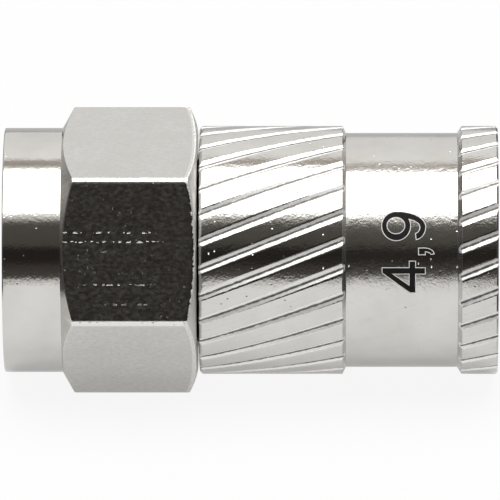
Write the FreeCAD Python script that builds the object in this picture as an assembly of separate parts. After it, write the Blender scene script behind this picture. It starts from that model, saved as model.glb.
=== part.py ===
"""Compression F connector for coaxial cable, in four pieces.

A coupling nut turns on the flanged front of an inner post. The post is pressed into a one-piece
turned sleeve, and a round seal sits between the nut and the sleeve.

Millimetres. The connector's axis is X, and +X points towards the cable. The origin is on the axis
at the front face of the post's flange, where the end of the mating socket seats. +Z is up: the
connector lies on one flat of its nut.
"""
import FreeCAD, Part
import math
import os

V = FreeCAD.Vector

# Coupling thread, 3/8-32
THREAD_MAJOR_DIAMETER = 9.525
THREAD_ROOT_ALLOWANCE = 0.0125
THREAD_DEPTH = 0.43
THREAD_MOUTH_CHAMFER = 0.25
THREAD_RELIEF_DEPTH = 0.2
THREAD_RELIEF_LENGTH = 0.9

# Coupling nut: the nose stands on the thread's wall, and the flats stand a step above the nose
REFERENCE_DEPTH = 5.7
NOSE_LENGTH = 2.55
NOSE_WALL = 0.6
NOSE_EDGE_BREAK = 0.1
NOSE_TO_FLAT_STEP = 0.125
HEX_EDGE_RADIUS = 0.4
HEX_FRONT_CONE_ANGLE = 60.5
HEX_DOME_RADIUS = 3.4
HEX_DOME_START_ANGLE = 11.0
HEX_REAR_FACE_STEP = 0.23
NUT_FLANGE_THICKNESS = 0.9

# Inner post: each diameter is a step or a wall above the bore for the cable's insulation
POST_BORE_DIAMETER = 4.95
POST_TAIL_WALL = 0.325
POST_SEAT_STEP = 0.4
POST_STEM_STEP = 0.2
POST_FLANGE_THICKNESS = 1.0
POST_FLANGE_CHAMFER = 0.15
POST_LEAD_LENGTH = 0.5
POST_TAIL_LENGTH = 6.4
POST_BARB_HEIGHT = 0.3
POST_BARB_LENGTH = 1.5
POST_TIP_WALL = 0.15

# Compression sleeve: both lands are the same bar, a hair below the nut's flats
LAND_BELOW_FLAT = 0.04
FRONT_LAND_LENGTH = 6.43
FRONT_LAND_EDGE = 0.13
FRONT_SHOULDER_LENGTH = 0.15
BAND_STEP = 0.31
BAND_LENGTH = 4.89
BAND_WALL = 0.95
REAR_LAND_LENGTH = 1.78
REAR_LAND_EDGE = 0.08
REAR_SHOULDER_LENGTH = 0.2
SLEEVE_WEB_THICKNESS = 2.7
CABLE_BORE_CHAMFER = 0.3
FOLD_WALL = 0.55
FOLD_RELIEF_MARGIN = 0.55

# Knurl: one pass of slanting grooves over both lands
GROOVE_COUNT = 28
GROOVE_DEPTH = 0.085
GROOVE_WIDTH = 0.44
GROOVE_FLOOR_WIDTH = 0.09
GROOVE_LEAD = 85.3
GROOVE_START_ANGLE = 4.4
GROOVE_OVERRUN = 1.0

# Seal
SEAL_SECTION = 0.8
SEAL_FLATS = 8

# Clearances
NUT_TO_SLEEVE_GAP = 0.08
NUT_AXIAL_CLEARANCE = 0.08
NUT_RADIAL_CLEARANCE = 0.05
FLANGE_TO_THREAD_CLEARANCE = 0.045
SEAL_CLEARANCE = 0.1

# Places along the axis
MOUTH_X = -REFERENCE_DEPTH
HEX_FRONT_X = MOUTH_X + NOSE_LENGTH
NUT_FLANGE_FRONT_X = POST_FLANGE_THICKNESS + NUT_AXIAL_CLEARANCE
NUT_FLANGE_REAR_X = NUT_FLANGE_FRONT_X + NUT_FLANGE_THICKNESS
SLEEVE_FRONT_X = NUT_FLANGE_REAR_X + SEAL_CLEARANCE + SEAL_SECTION
NUT_REAR_X = SLEEVE_FRONT_X - NUT_TO_SLEEVE_GAP
BAND_FRONT_X = SLEEVE_FRONT_X + FRONT_LAND_LENGTH
BAND_REAR_X = BAND_FRONT_X + BAND_LENGTH
SLEEVE_REAR_X = BAND_REAR_X + REAR_LAND_LENGTH
WEB_REAR_X = SLEEVE_FRONT_X + SLEEVE_WEB_THICKNESS
POST_REAR_X = WEB_REAR_X + POST_TAIL_LENGTH

# Radii, from the thread outwards and from the cable's insulation outwards
THREAD_ROOT_RADIUS = THREAD_MAJOR_DIAMETER / 2 + THREAD_ROOT_ALLOWANCE
NOSE_RADIUS = THREAD_ROOT_RADIUS + NOSE_WALL
FLAT_RADIUS = NOSE_RADIUS + NOSE_TO_FLAT_STEP
HEX_CORNER_RADIUS = FLAT_RADIUS / math.cos(math.radians(30))
LAND_RADIUS = FLAT_RADIUS - LAND_BELOW_FLAT
BAND_RADIUS = LAND_RADIUS - BAND_STEP
CABLE_BORE_RADIUS = BAND_RADIUS - BAND_WALL
FOLD_RELIEF_RADIUS = BAND_RADIUS - FOLD_WALL
POST_BORE_RADIUS = POST_BORE_DIAMETER / 2
TAIL_RADIUS = POST_BORE_RADIUS + POST_TAIL_WALL
SEAT_RADIUS = TAIL_RADIUS + POST_SEAT_STEP
STEM_RADIUS = SEAT_RADIUS + POST_STEM_STEP
POST_FLANGE_RADIUS = THREAD_ROOT_RADIUS - THREAD_DEPTH - FLANGE_TO_THREAD_CLEARANCE
SEAL_OUTER_RADIUS = STEM_RADIUS + SEAL_SECTION


def turned(points):
    """Solid of revolution about X through the corners (x, radius), in order."""
    corners = [V(x, radius, 0) for x, radius in points]
    wire = Part.makePolygon(corners + corners[:1])
    return Part.Face(wire).revolve(V(0, 0, 0), V(1, 0, 0), 360)


def hex_bar():
    """Hexagonal bar with rounded long edges and one flat straight down."""
    corners = []
    for index in range(6):
        angle = math.radians(60 * index)
        across = HEX_CORNER_RADIUS * math.cos(angle)
        up = HEX_CORNER_RADIUS * math.sin(angle)
        corners.append(V(HEX_FRONT_X, across, up))
    bar = Part.Face(Part.makePolygon(corners + corners[:1])).extrude(V(NUT_REAR_X - HEX_FRONT_X, 0, 0))
    long_edges = [edge for edge in bar.Edges if abs(edge.tangentAt(edge.FirstParameter).x) > 0.9]
    return bar.makeFillet(HEX_EDGE_RADIUS, long_edges)


def hex_envelope():
    """Turned form that the hexagon is cut to: a cone in front and a shallow dome behind."""
    cone_length = (HEX_CORNER_RADIUS - NOSE_RADIUS) / math.tan(math.radians(HEX_FRONT_CONE_ANGLE))
    rear_face_radius = FLAT_RADIUS - HEX_REAR_FACE_STEP
    start_angle = math.radians(HEX_DOME_START_ANGLE)
    centre_x = NUT_REAR_X - HEX_DOME_RADIUS * math.cos(start_angle)
    centre_radius = rear_face_radius - HEX_DOME_RADIUS * math.sin(start_angle)
    end_angle = math.asin((HEX_CORNER_RADIUS - centre_radius) / HEX_DOME_RADIUS)

    def on_dome(angle):
        x = centre_x + HEX_DOME_RADIUS * math.cos(angle)
        return V(x, centre_radius + HEX_DOME_RADIUS * math.sin(angle), 0)

    corners = [
        on_dome(start_angle),
        V(NUT_REAR_X, 0, 0),
        V(HEX_FRONT_X, 0, 0),
        V(HEX_FRONT_X, NOSE_RADIUS, 0),
        V(HEX_FRONT_X + cone_length, HEX_CORNER_RADIUS, 0),
        on_dome(end_angle),
    ]
    dome = Part.Arc(on_dome(end_angle), on_dome((start_angle + end_angle) / 2), on_dome(start_angle))
    outline = Part.Wire(Part.makePolygon(corners).Edges + [dome.toShape()])
    return Part.Face(outline).revolve(V(0, 0, 0), V(1, 0, 0), 360)


def nut_nose():
    """Plain round nose in front of the hexagon."""
    return turned([
        (MOUTH_X, 0),
        (MOUTH_X, NOSE_RADIUS - NOSE_EDGE_BREAK),
        (MOUTH_X + NOSE_EDGE_BREAK, NOSE_RADIUS),
        (HEX_FRONT_X, NOSE_RADIUS),
        (HEX_FRONT_X, 0),
    ])


def nut_bore():
    """Threaded mouth, thread relief, running hole round the post and the seal's pocket."""
    root = THREAD_ROOT_RADIUS
    relief = root + THREAD_RELIEF_DEPTH
    relief_front_x = NUT_FLANGE_FRONT_X - THREAD_RELIEF_LENGTH
    hole = STEM_RADIUS + NUT_RADIAL_CLEARANCE
    pocket = SEAL_OUTER_RADIUS + SEAL_CLEARANCE
    return turned([
        (MOUTH_X, 0),
        (MOUTH_X, root + THREAD_MOUTH_CHAMFER),
        (MOUTH_X + THREAD_MOUTH_CHAMFER, root),
        (relief_front_x - THREAD_RELIEF_DEPTH, root),
        (relief_front_x, relief),
        (NUT_FLANGE_FRONT_X, relief),
        (NUT_FLANGE_FRONT_X, hole),
        (NUT_FLANGE_REAR_X, hole),
        (NUT_FLANGE_REAR_X, pocket),
        (NUT_REAR_X, pocket),
        (NUT_REAR_X, 0),
    ])


def coupling_nut():
    """Hexagon and nose in one piece, bored from both ends."""
    outside = hex_bar().common(hex_envelope()).fuse(nut_nose())
    return outside.removeSplitter().cut(nut_bore())


def inner_post():
    """Flanged tube: flange, stem, press seat and a thin barbed tail that goes under the braid."""
    barb_x = POST_REAR_X - POST_BARB_LENGTH
    return turned([
        (0, POST_BORE_RADIUS),
        (0, POST_FLANGE_RADIUS - POST_FLANGE_CHAMFER),
        (POST_FLANGE_CHAMFER, POST_FLANGE_RADIUS),
        (POST_FLANGE_THICKNESS, POST_FLANGE_RADIUS),
        (POST_FLANGE_THICKNESS, STEM_RADIUS),
        (SLEEVE_FRONT_X, STEM_RADIUS),
        (SLEEVE_FRONT_X, SEAT_RADIUS),
        (WEB_REAR_X, SEAT_RADIUS),
        (WEB_REAR_X + POST_LEAD_LENGTH, TAIL_RADIUS),
        (barb_x, TAIL_RADIUS),
        (barb_x, TAIL_RADIUS + POST_BARB_HEIGHT),
        (POST_REAR_X, POST_BORE_RADIUS + POST_TIP_WALL),
        (POST_REAR_X, POST_BORE_RADIUS),
    ])


def sleeve_turning():
    """Sleeve before the knurl: two lands, a band between them and a relief behind the band.

    The thin wall over the relief is where the sleeve folds onto the cable when it is compressed.
    """
    relief_ramp = FOLD_RELIEF_RADIUS - CABLE_BORE_RADIUS
    relief_front_x = BAND_FRONT_X + FOLD_RELIEF_MARGIN
    relief_rear_x = BAND_REAR_X - FOLD_RELIEF_MARGIN
    return turned([
        (SLEEVE_FRONT_X, SEAT_RADIUS),
        (SLEEVE_FRONT_X, LAND_RADIUS - FRONT_LAND_EDGE),
        (SLEEVE_FRONT_X + FRONT_LAND_EDGE, LAND_RADIUS),
        (BAND_FRONT_X - FRONT_SHOULDER_LENGTH, LAND_RADIUS),
        (BAND_FRONT_X, BAND_RADIUS),
        (BAND_REAR_X, BAND_RADIUS),
        (BAND_REAR_X + REAR_SHOULDER_LENGTH, LAND_RADIUS),
        (SLEEVE_REAR_X - REAR_LAND_EDGE, LAND_RADIUS),
        (SLEEVE_REAR_X, LAND_RADIUS - REAR_LAND_EDGE),
        (SLEEVE_REAR_X, CABLE_BORE_RADIUS + CABLE_BORE_CHAMFER),
        (SLEEVE_REAR_X - CABLE_BORE_CHAMFER, CABLE_BORE_RADIUS),
        (relief_rear_x, CABLE_BORE_RADIUS),
        (relief_rear_x - relief_ramp, FOLD_RELIEF_RADIUS),
        (relief_front_x + relief_ramp, FOLD_RELIEF_RADIUS),
        (relief_front_x, CABLE_BORE_RADIUS),
        (WEB_REAR_X, CABLE_BORE_RADIUS),
        (WEB_REAR_X, SEAT_RADIUS),
    ])


def groove_cutter():
    """One slanting groove, from before the front land to past the rear one."""
    floor_radius = LAND_RADIUS - GROOVE_DEPTH
    top_radius = LAND_RADIUS + GROOVE_DEPTH
    half_floor = GROOVE_FLOOR_WIDTH / 2
    half_top = GROOVE_WIDTH - half_floor
    length = SLEEVE_REAR_X - SLEEVE_FRONT_X + 2 * GROOVE_OVERRUN
    helix = Part.makeHelix(GROOVE_LEAD, length, floor_radius, 0, True)
    corners = [
        V(floor_radius, -half_floor, 0),
        V(top_radius, -half_top, 0),
        V(top_radius, half_top, 0),
        V(floor_radius, half_floor, 0),
    ]
    section = Part.makePolygon(corners + corners[:1])
    cutter = Part.Wire(helix.Edges).makePipeShell([section], True, True)
    cutter.rotate(V(0, 0, 0), V(0, 1, 0), 90)
    cutter.translate(V(SLEEVE_FRONT_X - GROOVE_OVERRUN, 0, 0))
    return cutter


def compression_sleeve():
    """Turned sleeve with its slanting knurl."""
    first = groove_cutter()
    first.rotate(V(0, 0, 0), V(1, 0, 0), GROOVE_START_ANGLE + 360 * GROOVE_OVERRUN / GROOVE_LEAD)
    cutters = []
    for index in range(GROOVE_COUNT):
        cutter = first.copy()
        cutter.rotate(V(0, 0, 0), V(1, 0, 0), 360 / GROOVE_COUNT * index)
        cutters.append(cutter)
    return sleeve_turning().cut(cutters)


def nut_seal():
    """Ring on the post's stem against the sleeve's front face, its round section drawn with flats."""
    half_section = SEAL_SECTION / 2
    corner_distance = half_section / math.cos(math.pi / SEAL_FLATS)
    corners = []
    for index in range(SEAL_FLATS):
        angle = 2 * math.pi * (index + 0.5) / SEAL_FLATS
        x = SLEEVE_FRONT_X - half_section + corner_distance * math.cos(angle)
        radius = STEM_RADIUS + half_section + corner_distance * math.sin(angle)
        corners.append((x, radius))
    return turned(corners)


def main():
    """Build each piece and write it as parts/NAME.step."""
    os.makedirs("parts", exist_ok=True)
    pieces = {
        "coupling_nut": coupling_nut(),
        "inner_post": inner_post(),
        "compression_sleeve": compression_sleeve(),
        "nut_seal": nut_seal(),
    }
    for name, shape in pieces.items():
        shape.exportStep(f"parts/{name}.step")
        print(name, shape.isValid(), len(shape.Solids), round(shape.Volume, 3), shape.BoundBox)


main()
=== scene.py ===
"""Looks of the compression F connector: plated metal, coupling thread, seal, size number and studio.

Sizes are millimetres and are turned into metres where a mesh is made. The connector's axis is X.
"""

import logging
import math
from contextlib import contextmanager
from dataclasses import dataclass
from enum import Enum
from functools import reduce
from typing import Callable, Iterator, Protocol, Sequence

import bmesh
import bpy
import numpy as np
from mathutils import Matrix, Vector


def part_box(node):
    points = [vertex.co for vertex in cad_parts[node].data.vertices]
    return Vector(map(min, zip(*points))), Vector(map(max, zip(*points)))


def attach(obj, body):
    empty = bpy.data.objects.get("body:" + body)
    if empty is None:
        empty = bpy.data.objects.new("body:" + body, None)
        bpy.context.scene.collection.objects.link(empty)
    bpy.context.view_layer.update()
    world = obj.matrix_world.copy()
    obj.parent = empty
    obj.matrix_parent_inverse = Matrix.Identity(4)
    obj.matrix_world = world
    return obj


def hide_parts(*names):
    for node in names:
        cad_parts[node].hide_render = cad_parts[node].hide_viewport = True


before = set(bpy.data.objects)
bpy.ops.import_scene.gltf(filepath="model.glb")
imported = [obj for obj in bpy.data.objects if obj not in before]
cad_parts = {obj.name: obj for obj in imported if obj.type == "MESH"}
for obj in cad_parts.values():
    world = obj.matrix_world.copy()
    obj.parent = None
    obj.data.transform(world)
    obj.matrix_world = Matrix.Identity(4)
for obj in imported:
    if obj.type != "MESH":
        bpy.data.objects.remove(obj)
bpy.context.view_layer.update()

LOG = logging.getLogger("connector")
MM = 0.001
MICROMETRE = 0.001 * MM
SECTOR = 60.0
CUT_ATTRIBUTE = "cut_depth"
# map of rubbed edges, torn burr and painted highlight on the nut
WEAR_AND_SHEEN_ATTRIBUTE = "edge_wear_and_sheen"

Socket = bpy.types.NodeSocket
Colour = tuple[float, float, float]
Point = tuple[float, float]
LightRows = tuple[tuple[float, float, float, float], ...]


def node_span(node: str) -> Point:
    """Give where a CAD node starts and ends along the connector's axis, in millimetres."""
    low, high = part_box(node)
    return low.x / MM, high.x / MM


def node_radius(node: str) -> float:
    """Give half the height of a CAD node, in millimetres."""
    low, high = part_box(node)
    return (high.z - low.z) / 2 / MM


class Body(Enum):
    """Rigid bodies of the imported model."""

    CONNECTOR = "connector_body"
    NUT = "nut"


class Slot(Enum):
    """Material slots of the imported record."""

    NUT = "nut_plating"
    SLEEVE = "sleeve_plating"
    POST = "post_plating"
    SEAL = "seal_rubber"


@dataclass(frozen=True)
class Corner:
    """One corner of a turned outline.

    Attributes:
        x: place along the axis.
        radius: distance from the axis.
        fillet: radius that rounds the corner, or 0 for a sharp one.
    """

    x: float
    radius: float
    fillet: float = 0.0


def rounded(points: Sequence[Point], fillet: float) -> list[Corner]:
    """Give corners that all have the same fillet."""
    return [Corner(x, radius, fillet) for x, radius in points]


def arc(centre: Point, radii: Point, start: float, end: float, steps: int) -> list[Point]:
    """Give points along part of an ellipse.

    Args:
        centre: the ellipse's centre.
        radii: its two radii.
        start: angle of the first point, in degrees.
        end: angle of the last point.
        steps: number of segments.

    Returns:
        The points.
    """
    points = []
    for step in range(steps + 1):
        angle = math.radians(start + (end - start) * step / steps)
        points.append((centre[0] + radii[0] * math.cos(angle), centre[1] + radii[1] * math.sin(angle)))
    return points


@dataclass(frozen=True)
class Outline:
    """Closed turned outline, which may differ from one side of the piece to another.

    Attributes:
        corners: corners in order round the section.
        fillet_steps: segments in each rounded corner.
        longest_step: longest stretch along the axis between two rings of points.
        fillet_reach: share of an edge that a fillet may take.
    """

    corners: Sequence[Corner]
    fillet_steps: int = 4
    longest_step: float = 0.5
    fillet_reach: float = 0.45

    def _fillet(self, before: Corner, here: Corner, after: Corner) -> list[np.ndarray]:
        """Round one corner.

        Args:
            before: the corner before it.
            here: the corner to round.
            after: the corner after it.

        Returns:
            Points along the rounding, always one more than fillet_steps where the corner has a fillet.
        """
        point = np.array([here.x, here.radius])
        if here.fillet == 0.0:
            return [point]
        to_before = np.array([before.x, before.radius]) - point
        to_after = np.array([after.x, after.radius]) - point
        length_before, length_after = np.linalg.norm(to_before), np.linalg.norm(to_after)
        cosine = float(to_before @ to_after / (length_before * length_after))
        half_angle = math.acos(max(-1.0, min(1.0, cosine))) / 2
        reach = min(here.fillet / math.tan(half_angle), self.fillet_reach * min(length_before, length_after))
        start, end = point + to_before / length_before * reach, point + to_after / length_after * reach
        weight = math.sin(half_angle)
        points = []
        for step in range(self.fillet_steps + 1):
            t = step / self.fillet_steps
            blend = np.array([(1 - t) ** 2, 2 * t * (1 - t) * weight, t**2])
            points.append((blend[0] * start + blend[1] * point + blend[2] * end) / blend.sum())
        return points

    def ring_counts(self) -> list[int]:
        """Give how many steps each stretch between two corners is cut into."""
        stretches = zip(self.corners, [*self.corners[1:], self.corners[0]])
        return [max(1, math.ceil(abs(after.x - here.x) / self.longest_step)) for here, after in stretches]

    def points(self, counts: Sequence[int]) -> np.ndarray:
        """Give the outline's points.

        Args:
            counts: steps to cut each stretch into, so that every side of a piece has as many points.

        Returns:
            Array of (x, radius) rows.
        """
        total = len(self.corners)
        groups = []
        for index, corner in enumerate(self.corners):
            groups.append(self._fillet(self.corners[index - 1], corner, self.corners[(index + 1) % total]))
        rows: list[np.ndarray] = []
        for index, group in enumerate(groups):
            rows.extend(group)
            start, end = group[-1], groups[(index + 1) % total][0]
            rows.extend(start + (end - start) * step / counts[index] for step in range(1, counts[index]))
        return np.array(rows)


@contextmanager
def editing(mesh: bpy.types.Mesh) -> Iterator[bmesh.types.BMesh]:
    """Open a mesh for editing, and write the result back to it at the end.

    Args:
        mesh: the mesh.

    Returns:
        A context that gives the mesh in its editable form.
    """
    work = bmesh.new()
    work.from_mesh(mesh)
    yield work
    work.to_mesh(mesh)
    work.free()


def link_object(name: str, data: bpy.types.ID) -> bpy.types.Object:
    """Make an object and link it to the scene.

    Args:
        name: the object's name.
        data: its mesh, curve or camera.

    Returns:
        The object.
    """
    made = bpy.data.objects.new(name, data)
    bpy.context.scene.collection.objects.link(made)
    return made


def smooth_mesh(name: str, vertices: np.ndarray, faces: np.ndarray) -> bpy.types.Object:
    """Make a smooth-shaded mesh whose large faces keep their own direction.

    Args:
        name: the object's name.
        vertices: rows of x, y, z in millimetres.
        faces: rows of vertex numbers, four to a face.

    Returns:
        The new object, linked to the scene.
    """
    mesh = bpy.data.meshes.new(name)
    mesh.from_pydata((vertices * MM).tolist(), [], faces.tolist())
    with editing(mesh) as work:
        bmesh.ops.recalc_face_normals(work, faces=work.faces)
    mesh.shade_smooth()
    face_count, corners_each = faces.shape
    normals = np.empty(face_count * 3, np.float32)
    areas = np.empty(face_count, np.float32)
    loop_vertex = np.empty(face_count * corners_each, np.int32)
    mesh.polygons.foreach_get("normal", normals)
    mesh.polygons.foreach_get("area", areas)
    mesh.loops.foreach_get("vertex_index", loop_vertex)
    weighted = normals.reshape(-1, 3) * (areas[:, None] / MM**2)
    sums = np.zeros((len(mesh.vertices), 3))
    np.add.at(sums, loop_vertex, np.repeat(weighted, corners_each, axis=0))
    sums /= np.maximum(np.linalg.norm(sums, axis=1, keepdims=True), 1e-12)
    mesh.normals_split_custom_set_from_vertices(sums.tolist())
    return link_object(name, mesh)


def grid_faces(rings: int, columns: int, close_rings: bool) -> np.ndarray:
    """Number the faces of a grid of points that closes round its columns.

    Args:
        rings: number of rings.
        columns: points in each ring.
        close_rings: whether the last ring joins the first.

    Returns:
        Rows of four vertex numbers, where a vertex's number is ring times columns plus column.
    """
    ring = np.arange(rings if close_rings else rings - 1)[:, None]
    column = np.arange(columns)[None, :]
    next_ring, next_column = (ring + 1) % rings, (column + 1) % columns
    pairs = ((ring, column), (next_ring, column), (next_ring, next_column), (ring, next_column))
    return np.stack([(row * columns + place).reshape(-1) for row, place in pairs], axis=1)


def turned_piece(
    name: str,
    outline_at: Callable[[float], Outline],
    angles: np.ndarray,
    twist: float = 0.0,
    attribute: str = "",
    value_at: Callable[[np.ndarray, np.ndarray, np.ndarray], np.ndarray] | None = None,
) -> bpy.types.Object:
    """Make a closed piece from one outline for each angle round the axis.

    Args:
        name: the piece's name.
        outline_at: gives the outline at an angle in degrees.
        angles: the angles of the columns, in degrees from +Y towards +Z.
        twist: turn of the columns, in degrees for each millimetre along the axis.
        attribute: name of a value from 0 to 1 that the mesh keeps for its finish.
        value_at: gives that value from each point's x and radius, and from the columns' angles.

    Returns:
        The new object.
    """
    outlines = [outline_at(float(angle)) for angle in angles]
    counts = np.max([outline.ring_counts() for outline in outlines], axis=0).tolist()
    sections = np.stack([outline.points(counts) for outline in outlines], axis=1)
    x, radius = sections[:, :, 0], sections[:, :, 1]
    turn = np.radians(angles[None, :] + twist * x)
    vertices = np.stack([x, radius * np.cos(turn), radius * np.sin(turn)], axis=2).reshape(-1, 3)
    piece = smooth_mesh(name, vertices, grid_faces(*x.shape, True))
    if value_at is not None:
        values = value_at(x, radius, angles).reshape(-1).astype(np.float32)
        piece.data.attributes.new(attribute, "FLOAT", "POINT").data.foreach_set("value", values)
    return piece


class NodeTree:
    """Short way to add and join the nodes of one shader or node group."""

    def __init__(self, tree: bpy.types.NodeTree) -> None:
        """Keep the tree."""
        self.tree = tree

    @classmethod
    def of(cls, owner: bpy.types.Material | bpy.types.World) -> "NodeTree":
        """Empty the node tree of a material or a world.

        Args:
            owner: the material or the world.

        Returns:
            Its tree.
        """
        owner.use_nodes = True
        owner.node_tree.nodes.clear()
        return cls(owner.node_tree)

    def feed(self, target: Socket, value: object) -> None:
        """Give an input its value.

        Args:
            target: the input.
            value: an output of another node, a number, a vector, or the three numbers of a colour.
        """
        if isinstance(value, Socket):
            self.tree.links.new(value, target)
        else:
            target.default_value = (*value, 1.0) if target.type == "RGBA" else value

    def add(self, kind: str, inputs: dict | None = None, **settings: object) -> bpy.types.Node:
        """Add a node.

        Args:
            kind: the node's Blender type.
            inputs: values of its inputs, under their names or numbers.
            settings: properties to set on it.

        Returns:
            The node.
        """
        node = self.tree.nodes.new(kind)
        for key, value in settings.items():
            setattr(node, key, value)
        for key, value in (inputs or {}).items():
            self.feed(node.inputs[key], value)
        return node

    def show(self, shader: Socket, kind: str = "ShaderNodeOutputMaterial") -> None:
        """Lead a shader to the output."""
        self.add(kind, {"Surface": shader})

    def math(self, operation: str, *values: object, clamp: bool = False) -> Socket:
        """Give what a Math node makes of numbers and outputs."""
        node = self.add("ShaderNodeMath", dict(enumerate(values)), operation=operation, use_clamp=clamp)
        return node.outputs[0]

    def product(self, *values: object) -> Socket:
        """Multiply two or more values."""
        return reduce(lambda first, second: self.math("MULTIPLY", first, second), values)

    def scaled(self, source: Socket, scale: Sequence[float]) -> Socket:
        """Multiply a vector by three numbers."""
        return self.add("ShaderNodeVectorMath", {0: source, 1: scale}, operation="MULTIPLY").outputs[0]

    def split(self, source: Socket) -> tuple[Socket, ...]:
        """Give the three parts of a vector."""
        return tuple(self.add("ShaderNodeSeparateXYZ", {0: source}).outputs)

    def noise(self, source: Socket, scale: float, detail: float = 3.0) -> Socket:
        """Give plain noise over a vector, from about 0 to 1."""
        inputs = {"Vector": source, "Scale": scale, "Detail": detail}
        return self.add("ShaderNodeTexNoise", inputs, noise_dimensions="3D").outputs["Fac"]

    def fade(self, source: Socket, low: float, high: float) -> Socket:
        """Turn a value into a mask that is 0 at low and 1 at high, which may be below low."""
        slope = 1 / (high - low)
        return self.math("MULTIPLY_ADD", source, slope, -low * slope, clamp=True)

    def span(self, source: Socket, *edges: float) -> Socket:
        """Give a mask that rises between the first two of four edges and falls between the last two."""
        return self.product(self.fade(source, edges[0], edges[1]), self.fade(source, edges[3], edges[2]))

    def wander(self, source: Socket, noise: Socket, reach: float) -> Socket:
        """Carry a value up and down with noise, by up to half of reach."""
        return self.math("ADD", source, self.math("MULTIPLY_ADD", noise, reach, -reach / 2))

    def spots(self, source: Socket, scale: float, edge: Point, chance: Point, draw: str) -> Socket:
        """Scatter round spots of uneven strength.

        Args:
            source: the vector.
            scale: scale of the cells, each of which has one spot.
            edge: distances from a spot's middle where it is 0 and full.
            chance: draws at which its strength is 0 and full.
            draw: which of the cell's random numbers sets its strength.

        Returns:
            The mask.
        """
        cells = self.add("ShaderNodeTexVoronoi", {"Vector": source, "Scale": scale}, feature="F1").outputs
        drawn = self.add("ShaderNodeSeparateColor", {0: cells["Color"]}).outputs[draw]
        return self.product(self.fade(cells["Distance"], *edge), self.fade(drawn, *chance))

    def mix(self, factor: Socket, first: object, second: object) -> Socket:
        """Mix two values or two colours.

        Args:
            factor: share of the second.
            first: an output, a number or a colour.
            second: an output, a number or a colour.

        Returns:
            The mix.
        """
        kinds = [getattr(value, "type", type(value)) for value in (first, second)]
        node = self.add("ShaderNodeMix", data_type="RGBA" if tuple in kinds or "RGBA" in kinds else "FLOAT")
        enabled = [socket for socket in node.inputs if socket.enabled]
        for socket, value in zip(enabled, (factor, first, second)):
            self.feed(socket, value)
        return next(socket for socket in node.outputs if socket.enabled)

    def attribute(self, name: str) -> Socket:
        """Give a value that the mesh keeps."""
        return self.add("ShaderNodeAttribute", attribute_name=name).outputs["Fac"]

    def millimetres(self) -> Socket:
        """Give the place on the piece, in millimetres."""
        return self.scaled(self.add("ShaderNodeTexCoord").outputs["Object"], (1 / MM, 1 / MM, 1 / MM))

    def bump(self, height: Socket, unit: float) -> Socket:
        """Give the normal that a height makes, which is counted in a unit of so many metres."""
        return self.add("ShaderNodeBump", {"Height": height, "Distance": unit}).outputs["Normal"]


@dataclass(frozen=True)
class SurfaceGrain:
    """Shader node group for plated metal: ripple, turning rings, nicks and small colour changes.

    Attributes:
        name: the group's name.
        broad_ripple: height of the orange-peel ripple's broad part, in micrometres.
        fine_ripple: height of its fine part.
        ring_height: height of the faint rings that a turning tool leaves.
        nick_depth: depth of the deepest small dents.
    """

    name: str = "plated_grain"
    broad_ripple: float = 3.0
    fine_ripple: float = 3.4
    ring_height: float = 0.9
    nick_depth: float = 22.0

    def build(self) -> bpy.types.NodeTree:
        """Build the group once.

        Returns:
            The group, with a share for each kind of grain, and with outputs Height, Tone and Dullness.
        """
        if self.name in bpy.data.node_groups:
            return bpy.data.node_groups[self.name]
        group = bpy.data.node_groups.new(self.name, "ShaderNodeTree")
        sockets = {"INPUT": ("Ripple", "Turning", "Nicks"), "OUTPUT": ("Height", "Tone", "Dullness")}
        for side, names in sockets.items():
            for name in names:
                group.interface.new_socket(name, in_out=side, socket_type="NodeSocketFloat")
        tree = NodeTree(group)
        place = tree.millimetres()
        broad = tree.product(tree.noise(place, 2.4, 2.0), self.broad_ripple)
        fine = tree.product(tree.noise(place, 9.0), self.fine_ripple)
        rings = tree.noise(tree.scaled(place, (14.0, 0.35, 0.35)), 1.0, 2.0)
        nicks = tree.spots(place, 3.6, (0.17, 0.03), (0.7, 1.0), "Red")
        layers = (
            tree.math("ADD", broad, fine),
            tree.product(rings, self.ring_height),
            tree.product(nicks, -self.nick_depth),
        )
        shares = tree.add("NodeGroupInput").outputs
        height = 0.0
        for name, layer in zip(sockets["INPUT"], layers):
            height = tree.math("MULTIPLY_ADD", layer, shares[name], height)
        tone, dullness = tree.noise(place, 0.55, 4.0), tree.noise(place, 4.0, 4.0)
        tree.add("NodeGroupOutput", {"Height": height, "Tone": tone, "Dullness": dullness})
        return group


@dataclass
class Layers:
    """Colour, roughness and height of a metal, which its marks change one after another."""

    tree: NodeTree
    colour: Socket
    roughness: Socket
    height: Socket

    def cover(self, mask: Socket, colour: Colour | None = None, roughness: object = None) -> None:
        """Bring in another colour or roughness.

        Args:
            mask: share of the new finish.
            colour: its colour, where that changes.
            roughness: its roughness, where that changes.
        """
        if colour is not None:
            self.colour = self.tree.mix(mask, self.colour, colour)
        if roughness is not None:
            self.roughness = self.tree.mix(mask, self.roughness, roughness)

    def lift(self, mask: Socket, height: object) -> None:
        """Raise the metal by a height in micrometres, where a mask says so."""
        self.height = self.tree.math("MULTIPLY_ADD", mask, height, self.height)


class Mark(Protocol):
    """Something that changes a metal's layers."""

    def apply(self, layers: Layers) -> None:
        """Change the layers."""


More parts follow.
